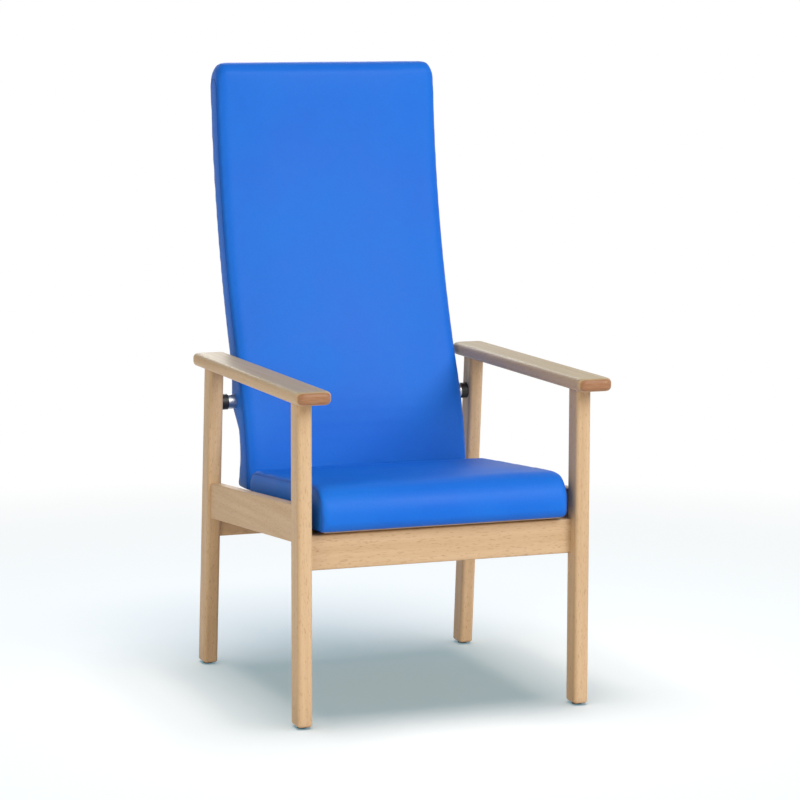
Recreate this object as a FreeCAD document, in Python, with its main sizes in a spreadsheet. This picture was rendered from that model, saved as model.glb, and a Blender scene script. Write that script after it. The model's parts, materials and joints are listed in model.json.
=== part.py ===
"""High-back chair: beech frame, back that tilts on two pivot pins, seat that slides forward with it.

Millimetres. +X is the sitter's left, -Y the front, +Z up. Pieces are drawn with Y measured from the
front posts' front face; their placements put the origin at the middle of the footprint, on the floor.
The seat's pieces are drawn level, from the top rear edge of the front rail, and tilted by placement.
"""
import FreeCAD, Part
import math
import os
import re

import Sketcher
from FreeCAD import Placement, Rotation, Vector

SIZES = {
    # Frame
    "frame_width": 560,
    "post_width": 28,
    "post_depth": 42,
    "post_round": 7,
    "foot_round": 6,
    "rear_foot_setback": 560,
    "rear_post_lean": 5.1,
    "arm_top": 608,
    "arm_thickness": 24,
    "arm_width": 66,
    "arm_outer_overhang": 19,
    "arm_front_overhang": 54,
    "arm_rear_overhang": 18,
    "arm_round": 9,
    "arm_corner": 15,
    "front_rail_top": 343,
    "front_rail_height": 63,
    "front_rail_setback": 24,
    "cross_rail_thickness": 20,
    "rear_rail_height": 48,
    "rear_rail_drop": 38,
    "side_rail_rise": 54,
    "side_rail_height": 68,
    "side_rail_thickness": 21,
    "side_rail_inset": 6,
    "rail_round": 3,
    # Joinery
    "dowel_diameter": 8,
    "dowel_depth": 22,
    "dowel_post_depth": 16,
    "dowel_arm_depth": 14,
    "dowel_spacing": 30,
    "arm_dowel_spacing": 18,
    "joint_clearance": 0.1,
    "screw_diameter": 4,
    "screw_head_diameter": 8,
    "screw_head_height": 2.5,
    "screw_bite": 12,
    # Floor glides
    "glide_diameter": 18,
    "glide_height": 3,
    "glide_spigot_diameter": 6,
    "glide_spigot_length": 14,
    # Seat
    "seat_tilt": 4.35,
    "seat_clearance": 2.5,
    "seat_side_gap": 19,
    "seat_back_gap": 30,
    "seat_overhang": 56,
    "seat_height": 87,
    "seat_crown": 3.5,
    "seat_bow": 7,
    "seat_edge": 5,
    "seat_edge_width": 10,
    "seat_nose_radius": 50,
    "seat_under_radius": 22,
    "seat_rear_radius": 28,
    "board_thickness": 12,
    "board_side_margin": 8,
    "board_front_margin": 24,
    "board_web_gap": 13,
    "soft_gap": 0.3,
    # Seat slide
    "slide_gap": 0.3,
    "slide_pad_thickness": 3,
    "slide_pad_width": 20,
    "slide_pad_length": 40,
    "slide_pad_margin": 2,
    "rear_pad_inset": 20,
    "seat_travel": 61,
    "runner_margin": 3,
    "runner_height": 18,
    "runner_rear_margin": 8,
    "runner_screw_drop": 6,
    "runner_screw_spacing": 180,
    "stop_length": 20,
    "stop_height": 14,
    # Back
    "back_side_gap": 30,
    "back_thickness": 52,
    "back_top": 1155,
    "back_bottom": 352,
    "bend_lead": 38,
    "bend_rise": 45,
    "bend_lean": 24,
    "lumbar_radius": 555,
    "shoulder_radius": 1600,
    "back_crown": 6,
    "back_edge": 12,
    "back_rear_edge": 3,
    "back_edge_width": 18,
    "back_corner": 34,
    "back_top_radius": 24,
    "foam_thickness": 26,
    "shell_thickness": 12,
    "shell_side_margin": 16,
    "shell_top_margin": 22,
    "shell_corner": 30,
    "hub_reach": 24,
    "hub_drop": 9,
    "hub_radius": 18,
    "waist_drop": 53,
    "waist_radius": 160,
    "heel_depth": 76,
    # Back pivot
    "pivot_drop": 69,
    "pin_diameter": 10,
    "pin_post_depth": 22,
    "pin_clearance": 0.05,
    "washer_diameter": 30,
    "washer_thickness": 13,
    "ferrule_diameter": 28,
    "bush_diameter": 16,
    "bush_length": 30,
    "pivot_rail_reach": 13,
    "pivot_rail_height": 36,
    "pivot_rail_margin": 12,
    "rail_screw_spacing": 90,
    # Link between back and seat
    "lower_rail_thickness": 20,
    "lower_rail_height": 26,
    "lower_rail_recess": 2,
    "rod_diameter": 10,
    "rod_drop": 31,
    "link_inset": 72,
    "bracket_plate": 4,
    "bracket_gap": 2,
    "bracket_width": 18,
    "bracket_foot": 26,
    "bracket_tip": 11,
    "bracket_screw_inset": 7,
    "bracket_screw_spacing": 10,
    "slot_clearance": 0.9,
    "slot_rise": 16.5,
    "slot_wall": 7,
    "seat_foot_length": 50,
    "seat_foot_width": 26,
    "seat_screw_spacing": 25,
    "clip_diameter": 18,
    "clip_thickness": 2,
}

LAYOUT = {
    # Frame
    "post_outer": "frame_width / 2",
    "post_inner": "post_outer - post_width",
    "post_mid": "post_outer - post_width / 2",
    "post_front": "0",
    "lean": "tan(rear_post_lean * 1 deg)",
    "arm_underside": "arm_top - arm_thickness",
    "rear_foot_front": "rear_foot_setback - glide_height * lean",
    "rear_foot_back": "rear_foot_front + post_depth",
    "rear_foot_mid": "rear_foot_front + post_depth / 2",
    "rear_head_front": "rear_foot_setback - arm_underside * lean",
    "rear_head_back": "rear_head_front + post_depth",
    "arm_outer": "post_outer + arm_outer_overhang",
    "arm_inner": "arm_outer - arm_width",
    "arm_front": "-arm_front_overhang",
    "arm_rear": "rear_head_back + arm_rear_overhang",
    "front_rail_bottom": "front_rail_top - front_rail_height",
    "front_rail_mid": "front_rail_top - front_rail_height / 2",
    "front_rail_rear": "front_rail_setback + cross_rail_thickness",
    "front_rail_y": "front_rail_setback + cross_rail_thickness / 2",
    # Side rails, from the front posts down to the leaning rear posts
    "tilt": "tan(seat_tilt * 1 deg)",
    "side_rail_outer": "post_outer - side_rail_inset",
    "side_rail_inner": "side_rail_outer - side_rail_thickness",
    "side_rail_x": "side_rail_outer - side_rail_thickness / 2",
    "side_front_top": "front_rail_top + side_rail_rise",
    "side_front_bottom": "side_front_top - side_rail_height",
    "side_front_mid": "side_front_top - side_rail_height / 2",
    "side_run": "rear_foot_setback - post_depth",
    "side_rear_top": "(side_front_top - tilt * side_run) / (1 - tilt * lean)",
    "side_rear_bottom": "(side_front_bottom - tilt * side_run) / (1 - tilt * lean)",
    "side_rear_mid": "(side_rear_top + side_rear_bottom) / 2",
    "side_rear_top_y": "rear_foot_setback - side_rear_top * lean",
    "side_rear_bottom_y": "rear_foot_setback - side_rear_bottom * lean",
    "side_rear_mid_y": "rear_foot_setback - side_rear_mid * lean",
    "rear_rail_bottom": "side_rear_bottom - rear_rail_drop",
    "rear_rail_top": "rear_rail_bottom + rear_rail_height",
    "rear_rail_mid": "rear_rail_bottom + rear_rail_height / 2",
    "rear_rail_y": "rear_foot_setback - rear_rail_mid * lean + post_depth / 2",
    "rear_rail_front": "rear_rail_y - cross_rail_thickness / 2",
    "rear_rail_back": "rear_rail_y + cross_rail_thickness / 2",
    # Back: its front face is two arcs that meet where it leans most, placed from the pivot
    "back_half_width": "post_inner - back_side_gap",
    "pivot_height": "arm_underside - pivot_drop",
    "pivot_y": "rear_foot_setback - pivot_height * lean + post_depth / 2",
    "bend_y": "pivot_y - bend_lead",
    "bend_height": "pivot_height + bend_rise",
    "lumbar_y": "bend_y + lumbar_radius * cos(bend_lean * 1 deg)",
    "lumbar_z": "bend_height - lumbar_radius * sin(bend_lean * 1 deg)",
    "shoulder_y": "bend_y - shoulder_radius * cos(bend_lean * 1 deg)",
    "shoulder_z": "bend_height + shoulder_radius * sin(bend_lean * 1 deg)",
    "top_reach": "shoulder_radius + back_thickness - back_top_radius",
    "top_round_z": "back_top - back_top_radius",
    "back_rear": "shoulder_y + sqrt(top_reach ^ 2 - (top_round_z - shoulder_z) ^ 2) + back_top_radius",
    "shell_rear_depth": "foam_thickness + shell_thickness",
    "shell_half_width": "back_half_width - shell_side_margin",
    "shell_top": "back_top - shell_top_margin",
    # Back pivot
    "pivot_rail_end": "back_half_width - pivot_rail_margin",
    "pivot_arm": "sqrt((lumbar_y - pivot_y) ^ 2 + (pivot_height - lumbar_z) ^ 2)",
    "pivot_depth": "lumbar_radius - pivot_arm",
    "pivot_lean": "atan((pivot_height - lumbar_z) / (lumbar_y - pivot_y)) / 1 deg",
    "pivot_rail_sag": "pivot_rail_height ^ 2 / (8 * (lumbar_radius - shell_rear_depth))",
    "pivot_rail_front": "shell_rear_depth + pivot_rail_sag + soft_gap - pivot_depth",
    "pin_end": "pivot_rail_end - bush_length + slide_gap",
    "washer_end": "post_inner - washer_thickness",
    "ferrule_end": "washer_end - slide_gap",
    # Link
    "lower_rail_bottom": "back_bottom + lower_rail_recess",
    "lower_rail_top": "lower_rail_bottom + lower_rail_height",
    "lower_rail_mid": "lower_rail_bottom + lower_rail_height / 2",
    "lower_rail_reach": "max(abs(lower_rail_top - lumbar_z); abs(lower_rail_bottom - lumbar_z))",
    "shell_inner_radius": "lumbar_radius - shell_rear_depth",
    "lower_rail_front": "lumbar_y - sqrt(shell_inner_radius ^ 2 - lower_rail_reach ^ 2) + soft_gap",
    "foam_radius": "lumbar_radius - foam_thickness",
    "lower_screw_y": "lumbar_y - sqrt(foam_radius ^ 2 - (lower_rail_mid - lumbar_z) ^ 2)",
    "rod_y": "lower_rail_front + lower_rail_thickness / 2",
    "rod_z": "back_bottom - rod_drop",
    "bracket_rear": "rod_y + bracket_width / 2",
    "bracket_bottom": "rod_z - bracket_tip",
    "bracket_foot_bottom": "lower_rail_bottom - bracket_plate",
    "seat_web_inner": "back_half_width - link_inset",
    "seat_web_outer": "seat_web_inner + bracket_plate",
    "back_web_inner": "seat_web_outer + bracket_gap",
    "back_web_outer": "back_web_inner + bracket_plate",
    "back_foot_outer": "back_web_inner + bracket_foot",
    "bracket_screw_x": "back_web_outer + bracket_screw_inset",
    "clip_end": "back_web_outer + slide_gap",
    "rod_half_length": "clip_end + clip_thickness",
    # Seat, level: Y from the front rail's rear face, Z from the board's underside
    "seat_y": "front_rail_rear",
    "seat_z": "front_rail_top + seat_clearance",
    "seat_half_width": "side_rail_inner - seat_side_gap",
    "seat_front": "-seat_overhang",
    "seat_reach": "lumbar_y - lumbar_radius - back_crown - seat_back_gap - seat_y",
    "seat_rear": "seat_reach / cos(seat_tilt * 1 deg) - seat_height * tilt",
    "rod_v": "(rod_y - seat_y) * cos(seat_tilt * 1 deg) - (rod_z - seat_z) * sin(seat_tilt * 1 deg)",
    "rod_w": "(rod_y - seat_y) * sin(seat_tilt * 1 deg) + (rod_z - seat_z) * cos(seat_tilt * 1 deg)",
    "slot_half": "rod_diameter / 2 + slot_clearance",
    "slot_top": "rod_w + slot_rise",
    "seat_web_front": "rod_v - slot_half - slot_wall",
    "seat_web_rear": "rod_v + slot_half + slot_wall",
    "seat_web_top": "slot_top + slot_half + slot_wall",
    "board_half_width": "seat_half_width - board_side_margin",
    "board_front": "seat_front + board_front_margin",
    "board_rear": "seat_web_front - board_web_gap",
    "pad_inner": "board_half_width - slide_pad_margin - slide_pad_width",
    "runner_inner": "pad_inner - runner_margin",
    "runner_width": "side_rail_inner - runner_inner",
    "runner_top": "-slide_pad_thickness - slide_gap",
    "runner_bottom": "runner_top - runner_height",
    "runner_front": "slide_gap - runner_bottom * tilt",
    "runner_rear": "side_rear_top_y - seat_y - runner_rear_margin",
    "runner_mid": "(runner_front + runner_rear) / 2",
    "runner_screw_w": "runner_top - runner_screw_drop",
    "front_pad_front": "seat_travel + slide_gap",
    "rear_pad_rear": "board_rear - rear_pad_inset",
    "rear_pad_front": "rear_pad_rear - slide_pad_length",
    "stop_front": "board_rear + slide_gap",
    "seat_foot_inner": "seat_web_outer - seat_foot_width",
    "seat_foot_front": "board_rear - seat_foot_length",
    "seat_foot_bottom": "-bracket_plate",
    "seat_screw_x": "seat_web_inner - (seat_foot_width - bracket_plate) / 2",
    "seat_screw_v": "board_rear - (seat_foot_length + seat_screw_spacing) / 2",
    # The origin, half way between the armrests' front ends and the back's rear
    "centre_y": "(back_rear - arm_front_overhang) / 2",
}

TOUCHING = 0.01

doc = FreeCAD.newDocument("high_back_chair")
nodes = []


def write_sheet(name, rows):
    sheet = doc.addObject("Spreadsheet::Sheet", name)
    for number, (alias, content) in enumerate(rows.items(), 1):
        sheet.set(f"A{number}", alias)
        sheet.set(f"B{number}", content)
        sheet.setAlias(f"B{number}", alias)
    return sheet


def formula(text, own_sheet=""):
    """Give each name in a formula the sheet that holds it."""
    def with_sheet(match):
        name = match.group()
        if name in SIZES:
            return "sizes." + name
        if name in LAYOUT:
            return own_sheet + name
        return name
    return re.sub(r"[a-z][a-z_]+", with_sheet, text)


sizes = write_sheet("sizes", {alias: str(value) for alias, value in SIZES.items()})
layout = write_sheet("layout", {alias: "=" + formula(text) for alias, text in LAYOUT.items()})
doc.recompute()


def value(alias):
    """A size or a place as a number, read from its sheet."""
    sheet = sizes if alias in SIZES else layout
    return float(sheet.get(alias))


def bind(item, **properties):
    """Tie properties to the sheets; a double underscore stands for a dot."""
    for name, text in properties.items():
        item.setExpression(name.replace("__", "."), formula(text, "layout."))


def node(label, item, on_seat=False):
    """Name a finished piece and give it its place in the chair."""
    item.Label = label
    if on_seat:
        tilt_on_seat(item)
        bind(item, Placement__Base__y="seat_y - centre_y")
    else:
        bind(item, Placement__Base__y="-centre_y")
    nodes.append(item)
    return item


def tilt_on_seat(item):
    """Put a piece that is drawn level on the slope of the seat."""
    item.Placement = Placement(Vector(), Rotation(Vector(-1, 0, 0), value("seat_tilt")))
    bind(item, Placement__Rotation__Angle="seat_tilt * 1 deg",
         Placement__Base__y="seat_y", Placement__Base__z="seat_z")
    return item


def pair(name, left):
    """The sitter's left piece, already placed, and its mirror image on the right."""
    left.Label = name + "_left"
    right = mirrored(left, name + "_right")
    right.Label = name + "_right"
    nodes.append(right)


def mirrored(source, name):
    twin = doc.addObject("Part::Mirroring", name)
    twin.Source = source
    twin.Normal = Vector(1, 0, 0)
    return twin


def group(name, items):
    compound = doc.addObject("Part::Compound", name)
    compound.Links = items
    return compound


def cut(name, base, tools):
    feature = doc.addObject("Part::Cut", name)
    feature.Base = base
    feature.Tool = group(name + "_tools", tools)
    return feature


# Solids of revolution and boxes

TURNS = {
    "+X": Rotation(Vector(0, 1, 0), 90),
    "+Y": Rotation(Vector(1, 0, 0), -90),
    "+Z": Rotation(),
}


def turned(kind, name, axis, start, **properties):
    solid = doc.addObject(kind, name)
    solid.Placement = Placement(Vector(), TURNS[axis])
    x, y, z = start
    bind(solid, Placement__Base__x=x, Placement__Base__y=y, Placement__Base__z=z, **properties)
    return solid


def cylinder(name, axis, start, radius, length):
    return turned("Part::Cylinder", name, axis, start, Radius=radius, Height=length)


def ring(name, start, outer, length):
    """A bored disc that runs on a pivot pin, along X."""
    disc = cylinder(name + "_disc", "+X", start, outer, length)
    bore = cylinder(name + "_bore", "+X", start, "pin_diameter / 2 + pin_clearance", length)
    return cut(name, disc, [bore])


def box(name, corner, lengths):
    solid = doc.addObject("Part::Box", name)
    x, y, z = corner
    bind(solid, Length=lengths[0], Width=lengths[1], Height=lengths[2],
         Placement__Base__x=x, Placement__Base__y=y, Placement__Base__z=z)
    return solid


# Bodies drawn from a sketch

def sketch_on(body, role, offset):
    sketch = body.newObject("Sketcher::SketchObject", body.Name + "_outline")
    plane = next(item for item in body.Origin.OriginFeatures if item.Role == role)
    sketch.AttachmentSupport = [(plane, "")]
    sketch.MapMode = "FlatFace"
    bind(sketch, AttachmentOffset__Base__z=offset)
    return sketch


def draw(sketch, corners):
    """A closed outline of straight lines whose corners are held by named places."""
    points = [Vector(value(u), value(v), 0) for u, v in corners]
    following = points[1:] + points[:1]
    for start, end in zip(points, following):
        sketch.addGeometry(Part.LineSegment(start, end))
    for index, corner in enumerate(corners):
        previous = (index - 1) % len(corners)
        sketch.addConstraint(Sketcher.Constraint("Coincident", previous, 2, index, 1))
        for kind, alias in zip(("DistanceX", "DistanceY"), corner):
            held = sketch.addConstraint(Sketcher.Constraint(kind, -1, 1, index, 1, value(alias)))
            sketch.setExpression(f"Constraints[{held}]", formula(alias, "layout."))


def extruded(name, role, offset, corners, length):
    body = doc.addObject("PartDesign::Body", name)
    return add_pad(body, role, offset, corners, length)


def add_pad(body, role, offset, corners, length):
    sketch = sketch_on(body, role, offset)
    draw(sketch, corners)
    pad = body.newObject("PartDesign::Pad", body.Name + "_pad")
    pad.Profile = sketch
    bind(pad, Length=length)
    return body


def rounded(body, radius, chosen):
    """Round the edges of a body's last feature that a test picks."""
    doc.recompute()
    base = body.Tip
    names = [f"Edge{number}" for number, edge in enumerate(base.Shape.Edges, 1) if chosen(edge)]
    fillet = body.newObject("PartDesign::Fillet", body.Name + "_round")
    fillet.Base = (base, names)
    bind(fillet, Radius=radius)
    return body


def runs_along(axis):
    """Test for straight edges that lie within about 10 degrees of an axis."""
    def test(edge):
        if not isinstance(edge.Curve, Part.Line):
            return False
        return abs(edge.Curve.Direction.dot(axis)) > math.cos(math.radians(10))
    return test


def lies_at(height):
    """Test for edges that lie flat at a height."""
    def test(edge):
        return max(abs(vertex.Z - height) for vertex in edge.Vertexes) < TOUCHING
    return test


X_AXIS, Y_AXIS, Z_AXIS = Vector(1, 0, 0), Vector(0, 1, 0), Vector(0, 0, 1)


# Dowels and screws, each with the hole that it fills

def dowel(name, axis, start, length):
    """A dowel and its drilled hole; start is the dowel's end."""
    pin = cylinder(name, axis, start, "dowel_diameter / 2", length)
    along = "XYZ".index(axis[1])
    mouth = list(start)
    mouth[along] = f"{start[along]} - joint_clearance"
    hole = cylinder(name + "_hole", axis, mouth, "dowel_diameter / 2 + joint_clearance",
                    f"{length} + 2 * joint_clearance")
    return pin, hole


def dowel_row(name, axis, start, length, along, middle, spacing):
    """Two dowels side by side along an axis, about a middle."""
    pins, holes = [], []
    for sign in ("-", "+"):
        place = list(start)
        place[along] = f"{middle} {sign} {spacing} / 2"
        pin, hole = dowel(f"{name}_{len(pins)}", axis, place, length)
        pins.append(pin)
        holes.append(hole)
    return pins, holes


def screw(name, axis, start, length):
    """A countersunk screw and its hole; start is the middle of the head's flat face."""
    def shape(tag, gap):
        shank = cylinder(name + tag + "_shank", axis, start, f"screw_diameter / 2 + {gap}",
                         f"{length} + {gap}")
        head = turned("Part::Cone", name + tag + "_head", axis, start,
                      Radius1=f"screw_head_diameter / 2 + {gap}", Radius2=f"screw_diameter / 2 + {gap}",
                      Height="screw_head_height")
        fused = doc.addObject("Part::Fuse", name + tag)
        fused.Base, fused.Tool = shank, head
        return fused
    return shape("", "0"), shape("_hole", "joint_clearance")


def both_sides(name, items):
    """Items of the left side with their mirror images."""
    return items + [mirrored(item, f"{name}_{number}") for number, item in enumerate(items)]


# Frame

def make_joinery():
    """Every dowel of the frame's left side, with the holes sorted by joint."""
    joints = {}
    across = "dowel_depth + dowel_post_depth"
    joints["front_rail"] = dowel_row(
        "front_rail_dowel", "+X", ["post_inner - dowel_depth", "front_rail_y", ""], across,
        2, "front_rail_mid", "dowel_spacing")
    joints["rear_rail"] = dowel_row(
        "rear_rail_dowel", "+X", ["post_inner - dowel_depth", "rear_rail_y", ""], across,
        2, "rear_rail_mid", "dowel_spacing")
    joints["side_front"] = dowel_row(
        "side_front_dowel", "+Y", ["side_rail_x", "post_depth - dowel_depth", ""], "2 * dowel_depth",
        2, "side_front_mid", "dowel_spacing")
    joints["side_rear"] = dowel_row(
        "side_rear_dowel", "+Y", ["side_rail_x", "side_rear_mid_y - dowel_depth", ""], "2 * dowel_depth",
        2, "side_rear_mid", "dowel_spacing")
    upright = "dowel_depth + dowel_arm_depth"
    joints["arm_front"] = dowel_row(
        "arm_front_dowel", "+Z", ["post_mid", "", "arm_underside - dowel_depth"], upright,
        1, "post_depth / 2", "arm_dowel_spacing")
    joints["arm_rear"] = dowel_row(
        "arm_rear_dowel", "+Z", ["post_mid", "", "arm_underside - dowel_depth"], upright,
        1, "rear_head_front + post_depth / 2", "arm_dowel_spacing")
    rails = [pin for name, (pins, holes) in joints.items() if not name.startswith("arm") for pin in pins]
    arms = [pin for name, (pins, holes) in joints.items() if name.startswith("arm") for pin in pins]
    node("rail_dowels", group("rail_dowels", both_sides("rail_dowel_twin", rails)))
    node("arm_dowels", group("arm_dowels", both_sides("arm_dowel_twin", arms)))
    return {name: holes for name, (pins, holes) in joints.items()}


def make_glide(name, middle):
    """A floor glide and the hole for its spigot."""
    foot = cylinder(name + "_foot", "+Z", ["post_mid", middle, "0"], "glide_diameter / 2", "glide_height")
    spigot = cylinder(name + "_spigot", "+Z", ["post_mid", middle, "0"], "glide_spigot_diameter / 2",
                      "glide_height + glide_spigot_length")
    glide = doc.addObject("Part::Fuse", name)
    glide.Base, glide.Tool = foot, spigot
    pair(name, node(name, glide))
    return cylinder(name + "_hole", "+Z", ["post_mid", middle, "0"],
                    "glide_spigot_diameter / 2 + joint_clearance",
                    "glide_height + glide_spigot_length + joint_clearance")


def make_post(name, corners, holes):
    body = extruded(name + "_blank", "YZ_Plane", "post_inner", corners, "post_width")
    rounded(body, "post_round", runs_along(Z_AXIS))
    rounded(body, "foot_round", lies_at(value("glide_height")))
    pair(name, node(name, cut(name, body, holes)))


def make_posts(holes):
    front_glide = make_glide("front_glide", "post_depth / 2")
    rear_glide = make_glide("rear_glide", "rear_foot_mid")
    front = [("post_front", "glide_height"), ("post_depth", "glide_height"),
             ("post_depth", "arm_underside"), ("post_front", "arm_underside")]
    make_post("front_post", front,
              holes["front_rail"] + holes["side_front"] + holes["arm_front"] + [front_glide])
    rear = [("rear_foot_front", "glide_height"), ("rear_foot_back", "glide_height"),
            ("rear_head_back", "arm_underside"), ("rear_head_front", "arm_underside")]
    pin_hole = cylinder("pivot_pin_hole", "+X", ["post_inner", "pivot_y", "pivot_height"],
                        "pin_diameter / 2 + pin_clearance", "pin_post_depth + joint_clearance")
    make_post("rear_post", rear,
              holes["rear_rail"] + holes["side_rear"] + holes["arm_rear"] + [rear_glide, pin_hole])


def make_armrests(holes):
    corners = [("arm_inner", "arm_front"), ("arm_outer", "arm_front"),
               ("arm_outer", "arm_rear"), ("arm_inner", "arm_rear")]
    body = extruded("armrest_blank", "XY_Plane", "arm_underside", corners, "arm_thickness")
    rounded(body, "arm_corner", runs_along(Z_AXIS))
    heights = [lies_at(value("arm_underside")), lies_at(value("arm_top"))]
    rounded(body, "arm_round", lambda edge: any(test(edge) for test in heights))
    pair("armrest", node("armrest", cut("armrest", body, holes["arm_front"] + holes["arm_rear"])))


def make_cross_rail(name, front, rear, bottom, top, holes):
    corners = [(front, bottom), (rear, bottom), (rear, top), (front, top)]
    body = extruded(name + "_blank", "YZ_Plane", "-post_inner", corners, "2 * post_inner")
    rounded(body, "rail_round", runs_along(X_AXIS))
    node(name, cut(name, body, both_sides(name + "_hole_twin", holes)))


def make_rails(holes, runner_holes):
    make_cross_rail("front_rail", "front_rail_setback", "front_rail_rear",
                    "front_rail_bottom", "front_rail_top", holes["front_rail"])
    make_cross_rail("rear_rail", "rear_rail_front", "rear_rail_back",
                    "rear_rail_bottom", "rear_rail_top", holes["rear_rail"])
    corners = [("post_depth", "side_front_bottom"), ("side_rear_bottom_y", "side_rear_bottom"),
               ("side_rear_top_y", "side_rear_top"), ("post_depth", "side_front_top")]
    body = extruded("side_rail_blank", "YZ_Plane", "side_rail_inner", corners, "side_rail_thickness")
    rounded(body, "rail_round", runs_along(Y_AXIS))
    tools = holes["side_front"] + holes["side_rear"] + [runner_holes]
    pair("side_rail", node("side_rail", cut("side_rail", body, tools)))


def make_runners():
    """Battens that carry the seat, their screws and the seat's stops; gives the screw holes in place."""
    screws, holes = [], []
    for number, sign in enumerate(("- runner_screw_spacing", "", "+ runner_screw_spacing")):
        fastener, hole = screw(f"runner_screw_{number}", "+X",
                               ["runner_inner", f"runner_mid {sign}", "runner_screw_w"],
                               "runner_width + screw_bite")
        screws.append(fastener)
        holes.append(hole)
    blank = box("runner_blank", ["runner_inner", "runner_front", "runner_bottom"],
                ["runner_width", "runner_rear - runner_front", "runner_height"])
    pair("seat_runner", node("seat_runner", cut("seat_runner", blank, holes), on_seat=True))
    node("runner_screws", group("runner_screws", both_sides("runner_screw_twin", screws)), on_seat=True)
    stop = group("seat_stop", [box("stop_block", ["pad_inner", "stop_front", "runner_top"],
                                   ["slide_pad_width", "stop_length", "stop_height"])])
    pair("seat_stop", node("seat_stop", stop, on_seat=True))
    return tilt_on_seat(group("runner_screw_holes", holes))


# Back pivot

def make_pivots():
    pin = group("pivot_pin", [cylinder("pivot_pin_rod", "+X", ["pin_end", "pivot_y", "pivot_height"],
                                       "pin_diameter / 2", "post_inner + pin_post_depth - pin_end")])
    pair("pivot_pin", node("pivot_pin", pin))
    for name, start, outer, length in (
            ("pivot_washer", "washer_end", "washer_diameter", "washer_thickness"),
            ("pivot_ferrule", "pivot_rail_end", "ferrule_diameter", "ferrule_end - pivot_rail_end"),
            ("pivot_bush", "pivot_rail_end - bush_length", "bush_diameter", "bush_length")):
        pair(name, node(name, ring(name, [start, "pivot_y", "pivot_height"], outer + " / 2", length)))


def lean_on_pivot(item):
    """Put a piece that is drawn square to the pivot axis in line with the back there."""
    item.Placement = Placement(Vector(), Rotation(Vector(-1, 0, 0), value("pivot_lean")))
    bind(item, Placement__Rotation__Angle="pivot_lean * 1 deg",
         Placement__Base__y="pivot_y", Placement__Base__z="pivot_height")
    return item


def rail_screws(name, y, z, length):
    """A row of screws through the shell into a cross rail, evenly spaced about the middle."""
    screws, holes = [], []
    for number, turn in enumerate((0.5, 1.5)):
        fastener, hole = screw(f"{name}_{number}", "+Y", [f"{turn} * rail_screw_spacing", y, z], length)
        screws.append(fastener)
        holes.append(hole)
    return (group(name, both_sides(name + "_twin", screws)),
            group(name + "_holes", both_sides(name + "_hole_twin", holes)))


def make_back_rails():
    """The two cross rails behind the shell with their screws; gives the screw holes in place."""
    upper, upper_holes = rail_screws("pivot_rail_screw_row", "foam_thickness - pivot_depth", "0",
                                     "shell_thickness + screw_bite")
    lower, lower_holes = rail_screws("lower_rail_screw_row", "lower_screw_y", "lower_rail_mid",
                                     "shell_thickness + screw_bite")
    lean_on_pivot(upper)
    lean_on_pivot(upper_holes)
    node("rail_screws", group("rail_screws", [upper, lower]))

    pivot_blank = lean_on_pivot(group("pivot_rail_blank", [box(
        "pivot_rail_bar", ["-pivot_rail_end", "pivot_rail_front", "-pivot_rail_height / 2"],
        ["2 * pivot_rail_end", "pivot_rail_reach - pivot_rail_front", "pivot_rail_height"])]))
    bore = cylinder("bush_hole", "+X", ["pivot_rail_end - bush_length", "pivot_y", "pivot_height"],
                    "bush_diameter / 2 + joint_clearance", "bush_length + joint_clearance")
    node("pivot_rail", cut("pivot_rail", pivot_blank, both_sides("bush_hole_twin", [bore]) + [upper_holes]))

    lower_blank = box("lower_rail_blank", ["-pivot_rail_end", "lower_rail_front", "lower_rail_bottom"],
                      ["2 * pivot_rail_end", "lower_rail_thickness", "lower_rail_height"])
    bracket_holes = make_link_brackets()
    node("lower_rail", cut("lower_rail", lower_blank,
                           both_sides("bracket_hole_twin", bracket_holes) + [lower_holes]))
    return upper_holes, lower_holes


# Link between the back and the seat

def make_link_brackets():
    """Angles under the lower rail that hold the link rod; gives the left one's screw holes."""
    screws, holes = [], []
    for number, step in enumerate(("", " + bracket_screw_spacing")):
        fastener, hole = screw(f"bracket_screw_{number}", "+Z",
                               ["bracket_screw_x" + step, "rod_y", "bracket_foot_bottom"],
                               "bracket_plate + screw_bite")
        screws.append(fastener)
        holes.append(hole)
    corners = [("back_web_inner", "bracket_bottom"), ("back_web_outer", "bracket_bottom"),
               ("back_web_outer", "bracket_foot_bottom"), ("back_foot_outer", "bracket_foot_bottom"),
               ("back_foot_outer", "lower_rail_bottom"), ("back_web_inner", "lower_rail_bottom")]
    angle = extruded("link_bracket_blank", "XZ_Plane", "-bracket_rear", corners, "bracket_width")
    eye = cylinder("link_bracket_eye", "+X", ["back_web_inner", "rod_y", "rod_z"],
                   "rod_diameter / 2 + pin_clearance", "bracket_plate")
    pair("link_bracket", node("link_bracket", cut("link_bracket", angle, [eye] + holes)))
    node("bracket_screws", group("bracket_screws", both_sides("bracket_screw_twin", screws)))
    rod = cylinder("link_rod_bar", "+X", ["-rod_half_length", "rod_y", "rod_z"], "rod_diameter / 2",
                   "2 * rod_half_length")
    node("link_rod", group("link_rod", [rod]))
    disc = cylinder("rod_clip_disc", "+X", ["clip_end", "rod_y", "rod_z"], "clip_diameter / 2",
                    "clip_thickness")
    hole = cylinder("rod_clip_hole", "+X", ["clip_end", "rod_y", "rod_z"],
                    "rod_diameter / 2 + pin_clearance", "clip_thickness")
    pair("rod_clip", node("rod_clip", cut("rod_clip", disc, [hole])))
    return holes


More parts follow.
